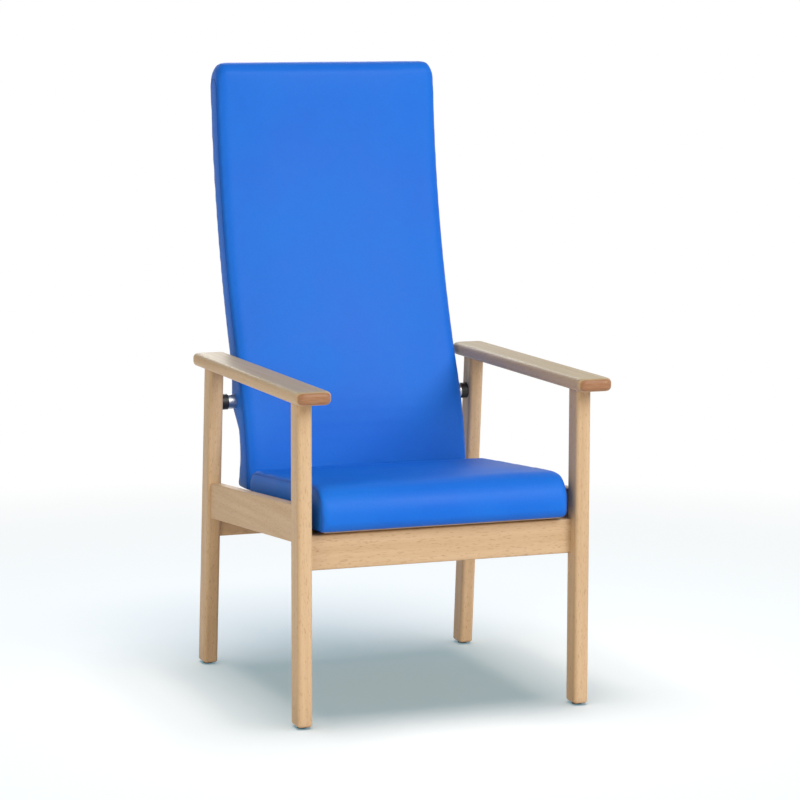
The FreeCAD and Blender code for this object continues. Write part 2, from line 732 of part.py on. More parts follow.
def make_seat_brackets():
    """Slotted plates behind the seat board that the link rod pulls; gives the screw holes."""
    screws, holes = [], []
    for number, step in enumerate(("", " + seat_screw_spacing")):
        fastener, hole = screw(f"seat_screw_{number}", "+Z",
                               ["seat_screw_x", "seat_screw_v" + step, "seat_foot_bottom"],
                               "bracket_plate + board_thickness * 0.75")
        screws.append(fastener)
        holes.append(hole)
    foot = [("seat_foot_inner", "seat_foot_front"), ("seat_web_outer", "seat_foot_front"),
            ("seat_web_outer", "seat_web_rear"), ("seat_foot_inner", "seat_web_rear")]
    body = extruded("seat_bracket_blank", "XY_Plane", "seat_foot_bottom", foot, "bracket_plate")
    web = [("seat_web_front", "seat_foot_bottom"), ("seat_web_rear", "seat_foot_bottom"),
           ("seat_web_rear", "seat_web_top"), ("seat_web_front", "seat_web_top")]
    add_pad(body, "YZ_Plane", "seat_web_inner", web, "bracket_plate")
    slot = doc.addObject("Part::MultiFuse", "seat_bracket_slot")
    slot.Shapes = [
        box("slot_run", ["seat_web_inner", "rod_v - slot_half", "rod_w"],
            ["bracket_plate", "2 * slot_half", "slot_rise"]),
        cylinder("slot_foot", "+X", ["seat_web_inner", "rod_v", "rod_w"], "slot_half", "bracket_plate"),
        cylinder("slot_head", "+X", ["seat_web_inner", "rod_v", "slot_top"], "slot_half", "bracket_plate"),
    ]
    pair("seat_bracket", node("seat_bracket", cut("seat_bracket", body, [slot] + holes), on_seat=True))
    node("seat_bracket_screws", group("seat_bracket_screws", both_sides("seat_screw_twin", screws)),
         on_seat=True)
    return holes


def make_seat_board(holes):
    blank = box("seat_board_blank", ["-board_half_width", "board_front", "0"],
                ["2 * board_half_width", "board_rear - board_front", "board_thickness"])
    node("seat_board", cut("seat_board", blank, both_sides("seat_hole_twin", holes)), on_seat=True)
    for name, front in (("front_slide_pad", "front_pad_front"), ("rear_slide_pad", "rear_pad_front")):
        strip = box(name + "_strip", ["pad_inner", front, "-slide_pad_thickness"],
                    ["slide_pad_width", "slide_pad_length", "slide_pad_thickness"])
        pair(name, node(name, group(name, [strip]), on_seat=True))


# Upholstery: lofts across the width, through side profiles of lines and arcs

def side_round(x, half_width, width):
    """0 across the middle, rising to 1 at the side as a quarter of an ellipse."""
    past = max(0.0, (abs(x) - half_width + width) / width)
    return 1 - math.sqrt(max(0.0, 1 - past * past))


def upholstery(profile, half_width, width):
    """A loft across the flat middle, joined to one over each rounded side."""
    flat = half_width - width
    middle = [flat * step / 2 for step in (-2, -1, 0, 1, 2)]
    left = [flat + width * math.sin(math.radians(angle)) for angle in range(0, 91, 15)]
    right = [-x for x in left]
    forms = [Part.makeLoft([profile(x) for x in places], True) for places in (middle, left, right)]
    return forms[0].fuse(forms[1:])


def arc(start, middle, end):
    return Part.Arc(start, middle, end).toShape()


def line(start, end):
    return Part.LineSegment(start, end).toShape()


def quarter(centre, radius, start_angle):
    """A quarter round in the YZ plane that turns clockwise as seen from +X."""
    points = []
    for step in (0, 45, 90):
        angle = math.radians(start_angle - step)
        points.append(centre + Vector(0, radius * math.cos(angle), radius * math.sin(angle)))
    return points


def seat_profile(x):
    half_width = value("seat_half_width")
    inset = value("seat_edge") * side_round(x, half_width, value("seat_edge_width"))
    across = (x / half_width) ** 2
    front = value("seat_front") + inset + value("seat_bow") * across
    rear = value("seat_rear")
    top = value("seat_height") - inset - value("seat_crown") * across
    nose, under = value("seat_nose_radius") - inset, value("seat_under_radius") - inset
    back_round = value("seat_rear_radius")
    lower = quarter(Vector(x, front + under, under), under, 270)
    upper = quarter(Vector(x, front + nose, top - nose), nose, 180)
    behind = quarter(Vector(x, rear - back_round, top - back_round), back_round, 90)
    base = Vector(x, rear, 0)
    return Part.Wire([
        arc(*lower), line(lower[2], upper[0]), arc(*upper), line(upper[2], behind[0]),
        arc(*behind), line(behind[2], base), line(base, lower[0]),
    ])


def make_seat_cushion():
    form = upholstery(seat_profile, value("seat_half_width"), value("seat_edge_width"))
    gap = value("soft_gap")
    board_half = value("board_half_width") + gap
    pocket = Part.makeBox(2 * board_half, value("board_rear") - value("board_front") + gap,
                          value("board_thickness") + 2 * gap,
                          Vector(-board_half, value("board_front") - gap, -gap))
    cushion = doc.addObject("Part::Feature", "seat_cushion")
    cushion.Shape = form.cut(pocket)
    node("seat_cushion", cushion, on_seat=True)


def lumbar_point(x, depth, height):
    """The point at a height on the lower arc that lies a depth behind the back's front face."""
    reach = math.sqrt((value("lumbar_radius") - depth) ** 2 - (height - value("lumbar_z")) ** 2)
    return Vector(x, value("lumbar_y") - reach, height)


def shoulder_point(x, depth, height):
    """The same on the upper arc."""
    reach = math.sqrt((value("shoulder_radius") + depth) ** 2 - (height - value("shoulder_z")) ** 2)
    return Vector(x, value("shoulder_y") + reach, height)


def back_arc(point, x, depth, start, end):
    """The stretch of one of these arcs between two heights."""
    return arc(*(point(x, depth, height) for height in (start, (start + end) / 2, end)))


def bend_height_at(depth):
    return value("bend_height") - depth * math.sin(math.radians(value("bend_lean")))


def top_corner(x, depth, radius, top, inward):
    """Tangent point, middle and end of the round between a face of the back and its top."""
    shoulder = Vector(x, value("shoulder_y"), value("shoulder_z"))
    reach = value("shoulder_radius") + depth + inward * radius
    rise = top - radius - shoulder.z
    centre = Vector(x, shoulder.y + math.sqrt(reach ** 2 - rise ** 2), top - radius)
    outward = (shoulder - centre).normalize() * inward
    upward = Vector(0, 0, 1)
    middle = (outward + upward).normalize()
    return [centre + direction * radius for direction in (outward, middle, upward)]


def hub_corner(x, corner, ramp_end, radius):
    """The round where the straight drop behind the pivot turns forward to the waist."""
    down = Vector(0, 0, -1)
    ramp = (ramp_end - corner).normalize()
    turn = down.getAngle(ramp)
    trim = radius * math.tan(turn / 2)
    first, last = corner - down * trim, corner + ramp * trim
    towards = (ramp - down).normalize()
    centre = corner + towards * (radius / math.cos(turn / 2))
    return [first, centre - towards * radius, last]


def back_profile(x):
    half_width = value("back_half_width")
    rounding = side_round(x, half_width, value("back_edge_width"))
    inset, rear_inset = value("back_edge") * rounding, value("back_rear_edge") * rounding
    front = inset - value("back_crown") * (1 - (x / half_width) ** 2)
    rear = value("back_thickness") - rear_inset
    top = value("back_top") - value("back_corner") * rounding
    bottom = value("back_bottom")
    radius = value("back_top_radius")
    front_round = top_corner(x, front, radius - inset, top, 1)
    rear_round = top_corner(x, rear, radius - rear_inset, top, -1)

    hub_y = value("pivot_y") + value("hub_reach") - rear_inset
    reach = value("shoulder_radius") + rear
    hub_top = value("shoulder_z") - math.sqrt(reach ** 2 - (hub_y - value("shoulder_y")) ** 2)
    waist = lumbar_point(x, rear, value("pivot_height") - value("waist_drop"))
    hub_round = hub_corner(x, Vector(x, hub_y, value("pivot_height") - value("hub_drop")), waist,
                           value("hub_radius"))

    toe = lumbar_point(x, front, bottom)
    heel = Vector(x, lumbar_point(x, 0, bottom).y + value("heel_depth") - rear_inset, bottom)
    chord = heel - waist
    sagitta = value("waist_radius") - math.sqrt(value("waist_radius") ** 2 - chord.Length ** 2 / 4)
    hollow = (waist + heel) / 2 + Vector(0, chord.z, -chord.y).normalize() * sagitta

    bend = bend_height_at(front)
    return Part.Wire([
        back_arc(lumbar_point, x, front, bottom, bend),
        back_arc(shoulder_point, x, front, bend, front_round[0].z),
        arc(*front_round),
        line(front_round[2], rear_round[2]),
        arc(*rear_round[::-1]),
        back_arc(shoulder_point, x, rear, rear_round[0].z, hub_top),
        line(Vector(x, hub_y, hub_top), hub_round[0]),
        arc(*hub_round),
        line(hub_round[2], waist),
        arc(waist, hollow, heel),
        line(heel, toe),
    ])


def shell_strip(front, rear, half_width, bottom, top):
    """A bent panel between two depths behind the back's front face."""
    x = -half_width
    front_bend, rear_bend = bend_height_at(front), bend_height_at(rear)
    profile = Part.Wire([
        back_arc(lumbar_point, x, front, bottom, front_bend),
        back_arc(shoulder_point, x, front, front_bend, top),
        line(shoulder_point(x, front, top), shoulder_point(x, rear, top)),
        back_arc(shoulder_point, x, rear, top, rear_bend),
        back_arc(lumbar_point, x, rear, rear_bend, bottom),
        line(lumbar_point(x, rear, bottom), lumbar_point(x, front, bottom)),
    ])
    return Part.Face(profile).extrude(Vector(2 * half_width, 0, 0))


def make_back_shell(holes):
    half_width, top = value("shell_half_width"), value("shell_top")
    panel = shell_strip(value("foam_thickness"), value("shell_rear_depth"), half_width,
                        value("lower_rail_bottom"), top)
    at_top = lies_at(top)
    corners = [edge for edge in panel.Edges if at_top(edge) and not runs_along(X_AXIS)(edge)]
    panel = panel.makeFillet(value("shell_corner"), corners)
    shell = doc.addObject("Part::Feature", "back_shell_panel")
    shell.Shape = panel
    node("back_shell", cut("back_shell", shell, holes))


def make_back_pad():
    gap = value("soft_gap")
    form = upholstery(back_profile, value("back_half_width"), value("back_edge_width"))
    below = value("back_bottom") - gap
    shell_room = shell_strip(value("foam_thickness") - gap, value("shell_rear_depth") + gap,
                             value("shell_half_width") + gap, below, value("shell_top") + gap)
    half_rail = value("pivot_rail_end") + gap
    in_shell = value("foam_thickness") + value("shell_thickness") / 2 - value("pivot_depth")
    height = value("pivot_rail_height") + 2 * gap
    pivot_room = Part.makeBox(2 * half_rail, value("pivot_rail_reach") + gap - in_shell, height,
                              Vector(-half_rail, in_shell, -height / 2))
    pivot_room.Placement = Placement(Vector(0, value("pivot_y"), value("pivot_height")),
                                     Rotation(Vector(-1, 0, 0), value("pivot_lean")))
    in_shell = value("lower_screw_y") + value("shell_thickness") / 2
    lower_rear = value("lower_rail_front") + value("lower_rail_thickness")
    lower_room = Part.makeBox(2 * half_rail, lower_rear + gap - in_shell,
                              value("lower_rail_top") + gap - below, Vector(-half_rail, in_shell, below))
    ferrule_room = Part.makeCylinder(value("ferrule_diameter") / 2 + gap, 2 * value("ferrule_end"),
                                     Vector(-value("ferrule_end"), value("pivot_y"), value("pivot_height")),
                                     X_AXIS)
    rail_end = value("pivot_rail_end")
    inside = Part.makeBox(2 * rail_end, 2 * value("back_top"), value("back_top"), Vector(-rail_end, 0, 0))
    pad = doc.addObject("Part::Feature", "back_pad")
    pad.Shape = form.cut([shell_room, pivot_room, lower_room, ferrule_room.cut(inside)])
    node("back_pad", pad)


def main():
    holes = make_joinery()
    make_posts(holes)
    make_armrests(holes)
    runner_holes = make_runners()
    make_rails(holes, runner_holes)
    make_pivots()
    make_back_shell(make_back_rails())
    make_back_pad()
    make_seat_board(make_seat_brackets())
    make_seat_cushion()
    doc.recompute()

    failed = [item.Name for item in doc.Objects if {"Invalid", "Error"} & set(item.State)]
    failed += [item.Label for item in nodes if item.Shape.isNull() or not item.Shape.isValid()]
    if failed:
        raise RuntimeError("these pieces failed: " + ", ".join(failed))
    os.makedirs("parts", exist_ok=True)
    for item in nodes:
        item.Shape.exportStep(f"parts/{item.Label}.step")


main()
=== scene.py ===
"""Looks of the high-back tilting armchair: beech frame, blue vinyl pads, camera and studio."""

import json
import math

import bmesh
import bpy
import numpy as np
from mathutils import Matrix, Vector, kdtree


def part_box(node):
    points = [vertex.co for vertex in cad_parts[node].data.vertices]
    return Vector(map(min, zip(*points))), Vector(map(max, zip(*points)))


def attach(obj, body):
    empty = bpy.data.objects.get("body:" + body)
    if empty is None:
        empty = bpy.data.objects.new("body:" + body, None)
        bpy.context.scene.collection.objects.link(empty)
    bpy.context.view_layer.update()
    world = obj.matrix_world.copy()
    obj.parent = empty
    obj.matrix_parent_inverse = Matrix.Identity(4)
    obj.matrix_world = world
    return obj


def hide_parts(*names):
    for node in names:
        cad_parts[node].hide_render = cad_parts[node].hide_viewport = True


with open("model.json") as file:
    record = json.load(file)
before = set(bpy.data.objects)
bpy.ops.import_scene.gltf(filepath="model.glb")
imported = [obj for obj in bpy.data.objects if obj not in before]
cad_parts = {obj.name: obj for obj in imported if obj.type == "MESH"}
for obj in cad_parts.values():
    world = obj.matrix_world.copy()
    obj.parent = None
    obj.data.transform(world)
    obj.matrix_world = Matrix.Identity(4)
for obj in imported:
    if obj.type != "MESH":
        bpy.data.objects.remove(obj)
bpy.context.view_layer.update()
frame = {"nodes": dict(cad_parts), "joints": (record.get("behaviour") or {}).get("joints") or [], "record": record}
nodes = frame["nodes"]

# The pads' covers before they are filled; lengths here and below are in metres
POINTS = 300  # round a pad's outline
EDGE_CUTS = 6  # outlines from a pad's flat part to its side
POCKET_WALL = 0.0005  # beside the pockets for board and shell, where the flat part's outline is cut
SIDE_SKIN = 0.0002  # the last outline is this far inside the side
COVER = 0.002  # the cover outside the foam's side, most of which the remesh takes off again
BOARD_SHOW = 0.001  # the seat board's underside stands this far below the cover
WELD = 1e-5  # CAD vertices this close together are one
ON_PLANE = 1e-7  # CAD vertices this close to a cutting plane lie on it
VOXEL = 0.0065  # cell of the remesh that the cloth works on
RELAXING, RELAX_SHARE = 2, 0.5  # rounds and strength of the smoothing that takes off the cells' steps

# Filling the covers
PRESSURE = 4.0  # inside a cover
CLOTH_FRAMES = 20  # that are simulated
CLOTH_QUALITY = 5  # steps in each of them
CLOTH_MASS = 0.3
CLOTH_TENSION, CLOTH_SHEAR, CLOTH_BENDING = 25, 12, 6  # stiffness
EVENING = 80  # rounds of averaging, which take the ripples out of the cloth's movement
SEAT_SWELL = 0.007  # most that the seat's cover moves out
SEAT_SIDE_RISE = 0.09  # this far in from the sides it may do so fully
SEAT_REAR_FROM, SEAT_REAR_TO = 0.012, 0.09  # this far from the rear it starts, and may do so fully
SEAT_NOSE_REACH, SEAT_NOSE_LOSS = 0.06, 0.4  # over this length to the nose it loses this share
BACK_SWELL = 0.007  # most that the back's cover moves out
BACK_SIDE_RISE = 0.1  # this far in from the sides it may do so fully
BACK_SEAT_RISE = 0.12  # and this far above the seat
BACK_REAR_SHARE = 0.35  # of that, on the rear
SIDE_SWELL = 0.003  # most that a side panel moves out
SIDE_FACING = 0.7  # a normal with more of X than this is a side panel's
UNDER_FACING = -0.3  # a normal that points up less than this is the seat's underside's

# Seams and stitches
SEAM_REACH = 0.007  # the cover is held within this distance of a seam
SEAM_ROUNDING = 8  # rounds of smoothing that take the kinks out of a seam
SEAM_DEPTH = 0.0016  # how deep the stitching pulls the cover in
SEAM_FURROW = 0.01  # within this distance of the seam
SEAM_FALL = 3  # power by which the pull falls off towards that distance
SEAM_CORD = 0.0009  # radius of the fold that shows in a seam
SEAM_CORD_STEPS = 2  # of its roundness
SEAM_STEPS = 60  # along the seam across the rear of the back
REAR_SEAM_DROP = 0.045  # from the pivot down to that seam
FAR_BEHIND = 1.0  # where the rays start that find it
STITCH_INSET = 0.0045  # from a seam to its row of stitches
STITCH_RADIUS = 0.0004
STITCH_SHARE = 0.62  # of the stitch spacing that the thread covers
STITCH_BODY = 0.6  # of a stitch's length that has the full radius, between its tips
STITCH_SIDES = 6  # of its section

# The photograph's camera
AZIMUTH, ELEVATION, ROLL = -20.811, 7.782, 0.107
FOCAL_PIXELS, IMAGE_PIXELS, SENSOR = 3079.085, 800, 36
CAMERA_PLACE = Vector((-1.99649, -5.33317, 1.31339))

# The studio
WORLD_LIGHT = 0.27  # on the object from all around, while the background itself shows white
FLOOR_RADIUS, FLOOR_SIDES = 2.4, 96
FLOOR_CLEAR = 0.9  # from here to its radius the floor fades into the background
FLOOR_COLOUR = (0.9, 0.87, 0.85)
FLOOR_LIFT = 0.25  # glow of the floor where it is seen, which keeps the shadow on it pale
FLOOR_LIFT_COLOUR = (0.3, 0.8, 1.0)
LAMPS = (
    # Name, place, aim, size, watts, tint, and whether it leaves out the floor or lights nothing else
    ("key", (1.6, -3.6, 3.0), (0, 0, 0.6), 2.8, 158, (1.0, 0.98, 0.95), "EXCLUDE"),
    ("fill", (-3.0, -2.2, 1.8), (0, 0, 0.6), 2.2, 34, (1.0, 0.94, 0.62), "EXCLUDE"),
    ("rear", (0.5, 3.6, 2.2), (0, 0, 0.6), 2.0, 40, (1.0, 1.0, 1.0), "EXCLUDE"),
    ("above", (0.0, -0.2, 4.0), (0, 0, 0), 2.4, 137, (1.0, 0.92, 0.89), "INCLUDE"),
)


def add_object(name, data):
    """A new object in the scene."""
    made = bpy.data.objects.new(name, data)
    bpy.context.scene.collection.objects.link(made)
    return made


def mesh_of(built, name):
    """What was built, as a mesh."""
    mesh = bpy.data.meshes.new(name)
    built.to_mesh(mesh)
    built.free()
    return mesh


def shade_smooth(mesh):
    for face in mesh.polygons:
        face.use_smooth = True


# ---------------------------------------------------------------- materials


def put(tree, kind, settings=None, **inputs):
    """A new node. Inputs are values, or sockets to link, by name with _ for a space, or by i and number.
    The number is used where names repeat, as on math and mix nodes."""
    made = tree.nodes.new("ShaderNode" + kind)
    for key, setting in (settings or {}).items():
        setattr(made, key, setting)
    for key, given in inputs.items():
        by_number = key[0] == "i" and key[1:].isdigit()
        socket = made.inputs[int(key[1:])] if by_number else made.inputs[key.replace("_", " ")]
        if isinstance(given, bpy.types.NodeSocket):
            tree.links.new(given, socket)
        else:
            socket.default_value = given
    return made


def new_material(name, roughness, **constants):
    """A material, its tree and its shader, with the shader's constants by name with _ for a space."""
    material = bpy.data.materials.new(name)
    material.use_nodes = True
    tree = material.node_tree
    shader = tree.nodes["Principled BSDF"]
    shader.inputs["Roughness"].default_value = roughness
    for key, given in constants.items():
        shader.inputs[key.replace("_", " ")].default_value = given
    return material, tree, shader


def place(tree):
    """A point's place on its object, in metres."""
    return put(tree, "TexCoord").outputs["Object"]


def noise(tree, where, per_metre, detail=3.0, roughness=0.5, stretch=(1, 1, 1)):
    """Noise with so many spots per metre, drawn out along the axes whose stretch is small."""
    mapped = put(tree, "Mapping", Vector=where, Scale=[per_metre * s for s in stretch])
    made = put(tree, "TexNoise", Vector=mapped.outputs[0], Scale=1.0, Detail=detail, Roughness=roughness)
    return made.outputs[0]


def spread(tree, given, low, high, to_low=0.0, to_high=1.0):
    """A value between low and high, carried over to the range from to_low to to_high and cut off there."""
    made = put(tree, "MapRange", Value=given, From_Min=low, From_Max=high, To_Min=to_low, To_Max=to_high)
    return made.outputs[0]


def mix(tree, factor, first, second, way="MIX"):
    made = put(tree, "Mix", {"data_type": "RGBA", "blend_type": way}, i0=factor, i6=first, i7=second)
    return made.outputs[2]


def math_of(tree, operation, first, second):
    return put(tree, "Math", {"operation": operation}, i0=first, i1=second).outputs[0]


def bump(tree, shader, height, strength, distance):
    made = put(tree, "Bump", Height=height, Strength=strength, Distance=distance)
    tree.links.new(made.outputs[0], shader.inputs["Normal"])


def colour(red, green, blue):
    return (red, green, blue, 1.0)


def along(axis, small):
    """The stretch of a noise that is drawn out along one axis."""
    return [small if axis == k else 1.0 for k in range(3)]


def beech(name, axis, end_from=0.72, end_fade=0.22, painted_top_sheen=0.0):
    """Steamed beech with its grain along an axis: soft bands, the short dark flecks of its rays, end grain.
    The end grain comes in over end_fade, where the normal has end_from of its length along the axis.
    Its upper side is painted grey, as much as worn says: a painted sheen, the reflection that lacquered tops give,
    put into the colour."""
    light, dark, end = BEECH_LIGHT, BEECH_DARK, BEECH_END
    material, tree, shader = new_material(
        name, 0.4, Specular_IOR_Level=0.3, Coat_Weight=0.06, Coat_Roughness=0.35
    )
    own = put(tree, "ObjectInfo").outputs["Random"]
    apart = put(tree, "CombineXYZ", X=own, Y=own, Z=own).outputs[0]
    shifted = put(tree, "VectorMath", {"operation": "ADD"}, i0=place(tree), i1=apart).outputs[0]
    bands = noise(tree, shifted, per_metre=70, detail=4.0, roughness=0.6, stretch=along(axis, 0.035))
    cloud = noise(tree, shifted, per_metre=9, detail=2.0, stretch=along(axis, 0.25))
    fleck = noise(tree, shifted, per_metre=620, detail=1.0, stretch=along(axis, 0.16))
    pores = noise(tree, shifted, per_metre=1500, detail=2.0, stretch=along(axis, 0.03))
    wood = mix(tree, spread(tree, bands, 0.35, 0.68), light, dark)
    wood = mix(tree, spread(tree, cloud, 0.3, 0.75, 0.0, 0.45), wood, dark)
    fleck = spread(tree, fleck, 0.6, 0.74, 0.0, 0.42)
    wood = mix(tree, fleck, wood, end)
    wood = mix(tree, spread(tree, pores, 0.55, 0.75, 0.0, 0.2), wood, end)
    tone = spread(tree, own, 0.0, 1.0, 0.96, 1.03)
    grey = put(tree, "CombineXYZ", X=tone, Y=tone, Z=tone)
    wood = mix(tree, 1.0, wood, grey.outputs[0], "MULTIPLY")
    normal = put(tree, "SeparateXYZ", Vector=put(tree, "TexCoord").outputs["Normal"]).outputs
    if painted_top_sheen:
        # painted sheen: upward faces turn grey, a painted reflection of the lacquered tops
        upper, uneven = spread(tree, normal[2], 0.5, 0.9), spread(tree, cloud, 0.3, 0.7, 0.8, 1)
        painted_sheen_share = math_of(tree, "MULTIPLY", math_of(tree, "MULTIPLY", upper, uneven), painted_top_sheen)
        wood = mix(tree, painted_sheen_share, wood, mix(tree, spread(tree, bands, 0.3, 0.7), PAINTED_SHEEN_LIGHT, PAINTED_SHEEN_DARK))
    facing = math_of(tree, "ABSOLUTE", normal[axis], 0.0)
    rings = noise(tree, shifted, per_metre=420, stretch=(0.12, 0.6, 1.0))
    end_wood = mix(tree, spread(tree, rings, 0.3, 0.75, 0.0, 0.3), end, dark)
    wood = mix(tree, spread(tree, facing, end_from, end_from + end_fade), wood, end_wood)
    tree.links.new(wood, shader.inputs["Base Color"])
    tree.links.new(spread(tree, bands, 0.3, 0.7, 0.44, 0.56), shader.inputs["Roughness"])
    bump(tree, shader, math_of(tree, "ADD", fleck, pores), strength=0.12, distance=0.0004)
    return material


def plywood(name, light, dark, layer):
    """Birch plywood: rotary-cut face figure, and pairs of layers, each so thick, on its edges."""
    material, tree, shader = new_material(name, 0.6, Specular_IOR_Level=0.3)
    where = place(tree)
    figure = noise(tree, where, per_metre=38, detail=4.0, roughness=0.6, stretch=along(1, 0.08))
    face = mix(tree, spread(tree, figure, 0.35, 0.7), light, dark)
    height = put(tree, "SeparateXYZ", Vector=where).outputs[2]
    plies = math_of(tree, "SINE", math_of(tree, "MULTIPLY", height, 2 * math.pi / layer), 0.0)
    upright = put(tree, "SeparateXYZ", Vector=put(tree, "TexCoord").outputs["Normal"]).outputs[2]
    on_edge = spread(tree, math_of(tree, "ABSOLUTE", upright, 0.0), 0.3, 0.6, 1.0, 0.0)
    edge = mix(tree, spread(tree, plies, -0.3, 0.3), light, dark)
    tree.links.new(mix(tree, on_edge, face, edge), shader.inputs["Base Color"])
    bump(tree, shader, figure, strength=0.15, distance=0.0005)
    return material


def vinyl(name, base, deep, pale):
    """Coated upholstery cloth: pressed hide grain with painted shade in its creases, a soft sheen, and painted
    shade where stitching pulls it in.
    """
    material, tree, shader = new_material(name, 0.45, Specular_IOR_Level=0.2)
    where = place(tree)
    wobble = put(tree, "TexNoise", Vector=where, Scale=420.0, Detail=1.0).outputs[1]
    small = put(tree, "VectorMath", {"operation": "SCALE"}, i0=wobble, Scale=0.0011).outputs[0]
    warped = put(tree, "VectorMath", {"operation": "ADD"}, i0=where, i1=small).outputs[0]
    cells = put(tree, "TexVoronoi", {"feature": "DISTANCE_TO_EDGE"}, Vector=warped, Scale=640.0)
    creases = spread(tree, cells.outputs[0], 0.0, 0.16)
    cloud = noise(tree, where, per_metre=6, roughness=0.55)
    fine = noise(tree, where, per_metre=240, detail=2.0)
    seam = put(tree, "Attribute", {"attribute_name": "seam"}).outputs["Fac"]
    cover = mix(tree, spread(tree, cloud, 0.3, 0.7), base, pale)
    cover = mix(tree, spread(tree, fine, 0.35, 0.7, 0.0, 0.07), cover, deep)
    # painted shade: the grain's creases are darker
    cover = mix(tree, spread(tree, creases, 0.0, 1.0, 0.12, 0.0), cover, deep)
    # painted shade: the cover is darker in the seams' furrows, as much as the stitching mark says
    cover = mix(tree, spread(tree, seam, 0.0, 1.0, 0.0, 0.3), cover, deep)
    tree.links.new(cover, shader.inputs["Base Color"])
    patches, grooves = spread(tree, cloud, 0.3, 0.7, 0.4, 0.5), spread(tree, creases, 0, 1, 0.1, 0)
    tree.links.new(math_of(tree, "ADD", patches, grooves), shader.inputs["Roughness"])
    bump(tree, shader, math_of(tree, "ADD", creases, fine), strength=0.22, distance=0.0003)
    return material


def moulded(name, base, scuffed, roughness):
    """Moulded plastic with a fine spark finish and light scuffing."""
    material, tree, shader = new_material(name, roughness, Specular_IOR_Level=0.4)
    where = place(tree)
    spark = noise(tree, where, per_metre=1600, detail=2.0, roughness=0.6)
    scuffs = noise(tree, where, per_metre=140, detail=4.0, roughness=0.65)
    tree.links.new(mix(tree, spread(tree, scuffs, 0.5, 0.75), base, scuffed), shader.inputs["Base Color"])
    tree.links.new(
        spread(tree, scuffs, 0.3, 0.7, roughness - 0.08, roughness + 0.1), shader.inputs["Roughness"]
    )
    bump(tree, shader, spark, strength=0.15, distance=0.0002)
    return material


def metal(name, base, dull, roughness, axis):
    """Drawn or turned metal: fine lines along an axis, dull spots."""
    material, tree, shader = new_material(name, roughness, Metallic=1.0)
    where = place(tree)
    lines = noise(tree, where, per_metre=1900, detail=2.0, stretch=along(axis, 0.02))
    spots = noise(tree, where, per_metre=160, detail=4.0, roughness=0.6)
    tree.links.new(mix(tree, spread(tree, spots, 0.45, 0.75), base, dull), shader.inputs["Base Color"])
    tree.links.new(
        spread(tree, lines, 0.3, 0.7, roughness - 0.1, roughness + 0.12), shader.inputs["Roughness"]
    )
    bump(tree, shader, lines, strength=0.08, distance=0.0002)
    return material


BEECH_LIGHT, BEECH_DARK = colour(0.695, 0.502, 0.312), colour(0.6, 0.412, 0.241)
BEECH_END = colour(0.31, 0.135, 0.065)
# painted sheen colours: the grey that reflection gives the armrests' tops
PAINTED_SHEEN_LIGHT, PAINTED_SHEEN_DARK = colour(0.45, 0.38, 0.235), colour(0.375, 0.31, 0.18)
WOOD = [beech("beech_" + "xyz"[k], k) for k in range(3)]
# the armrests' beech, with a painted grey sheen on its upward faces
ARM_WOOD = beech("beech_arm", 1, end_from=0.45, painted_top_sheen=0.78)
PLYWOOD = plywood("plywood", colour(0.72, 0.56, 0.38), colour(0.55, 0.39, 0.24), layer=0.003)
# deep blue for the random speckle, and for the painted shade in the grain's creases and the seams
VINYL_DEEP = colour(0.005, 0.06, 0.36)
VINYL = vinyl("blue_vinyl", colour(0.004, 0.15, 0.745), VINYL_DEEP, colour(0.008, 0.178, 0.785))
# the seam cord's darker blue is painted shade of the fold, not a colour of its own
SEAM_SHADE_BLUE = moulded("seam_blue_painted_shade", colour(0.005, 0.085, 0.47), colour(0.01, 0.11, 0.55), 0.6)
THREAD = moulded("thread_blue", colour(0.008, 0.11, 0.52), colour(0.012, 0.15, 0.62), 0.65)
BLACK = moulded("black_plastic", colour(0.014, 0.014, 0.015), colour(0.04, 0.04, 0.042), 0.45)
NYLON = moulded("white_nylon", colour(0.72, 0.71, 0.67), colour(0.6, 0.58, 0.53), 0.42)
STEEL = metal("grey_steel", colour(0.5, 0.51, 0.53), colour(0.36, 0.37, 0.39), 0.34, 0)
BRACKET = metal("bracket_steel", colour(0.42, 0.43, 0.45), colour(0.3, 0.3, 0.32), 0.42, 1)
ZINC = metal("screw_zinc", colour(0.66, 0.67, 0.69), colour(0.5, 0.5, 0.48), 0.3, 2)

FINISHES = {
    "dowel_beech": WOOD[0],
    "plywood": PLYWOOD,
    "blue_vinyl": VINYL,
    "black_plastic": BLACK,
    "white_nylon": NYLON,
    "grey_steel": STEEL,
    "bracket_steel": BRACKET,
    "screw_zinc": ZINC,
}


def longest_axis(node):
    low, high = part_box(node)
    reach = high - low
    return max(range(3), key=lambda k: reach[k])


def finish_nodes():
    """Every CAD node takes the finish of its slot; beech takes the one whose grain runs along the piece.
    The armrests take a painted grey sheen on top, a painted reflection put into the wood's colour."""
    for part in frame["record"]["subparts"]:
        node, slot = part["node"], part["material_slot"]
        finish = WOOD[longest_axis(node)] if slot == "beech" else FINISHES[slot]
        finish = ARM_WOOD if node.startswith("armrest") else finish
        nodes[node].data.materials.clear()
        nodes[node].data.materials.append(finish)


# ---------------------------------------------------------------- pads


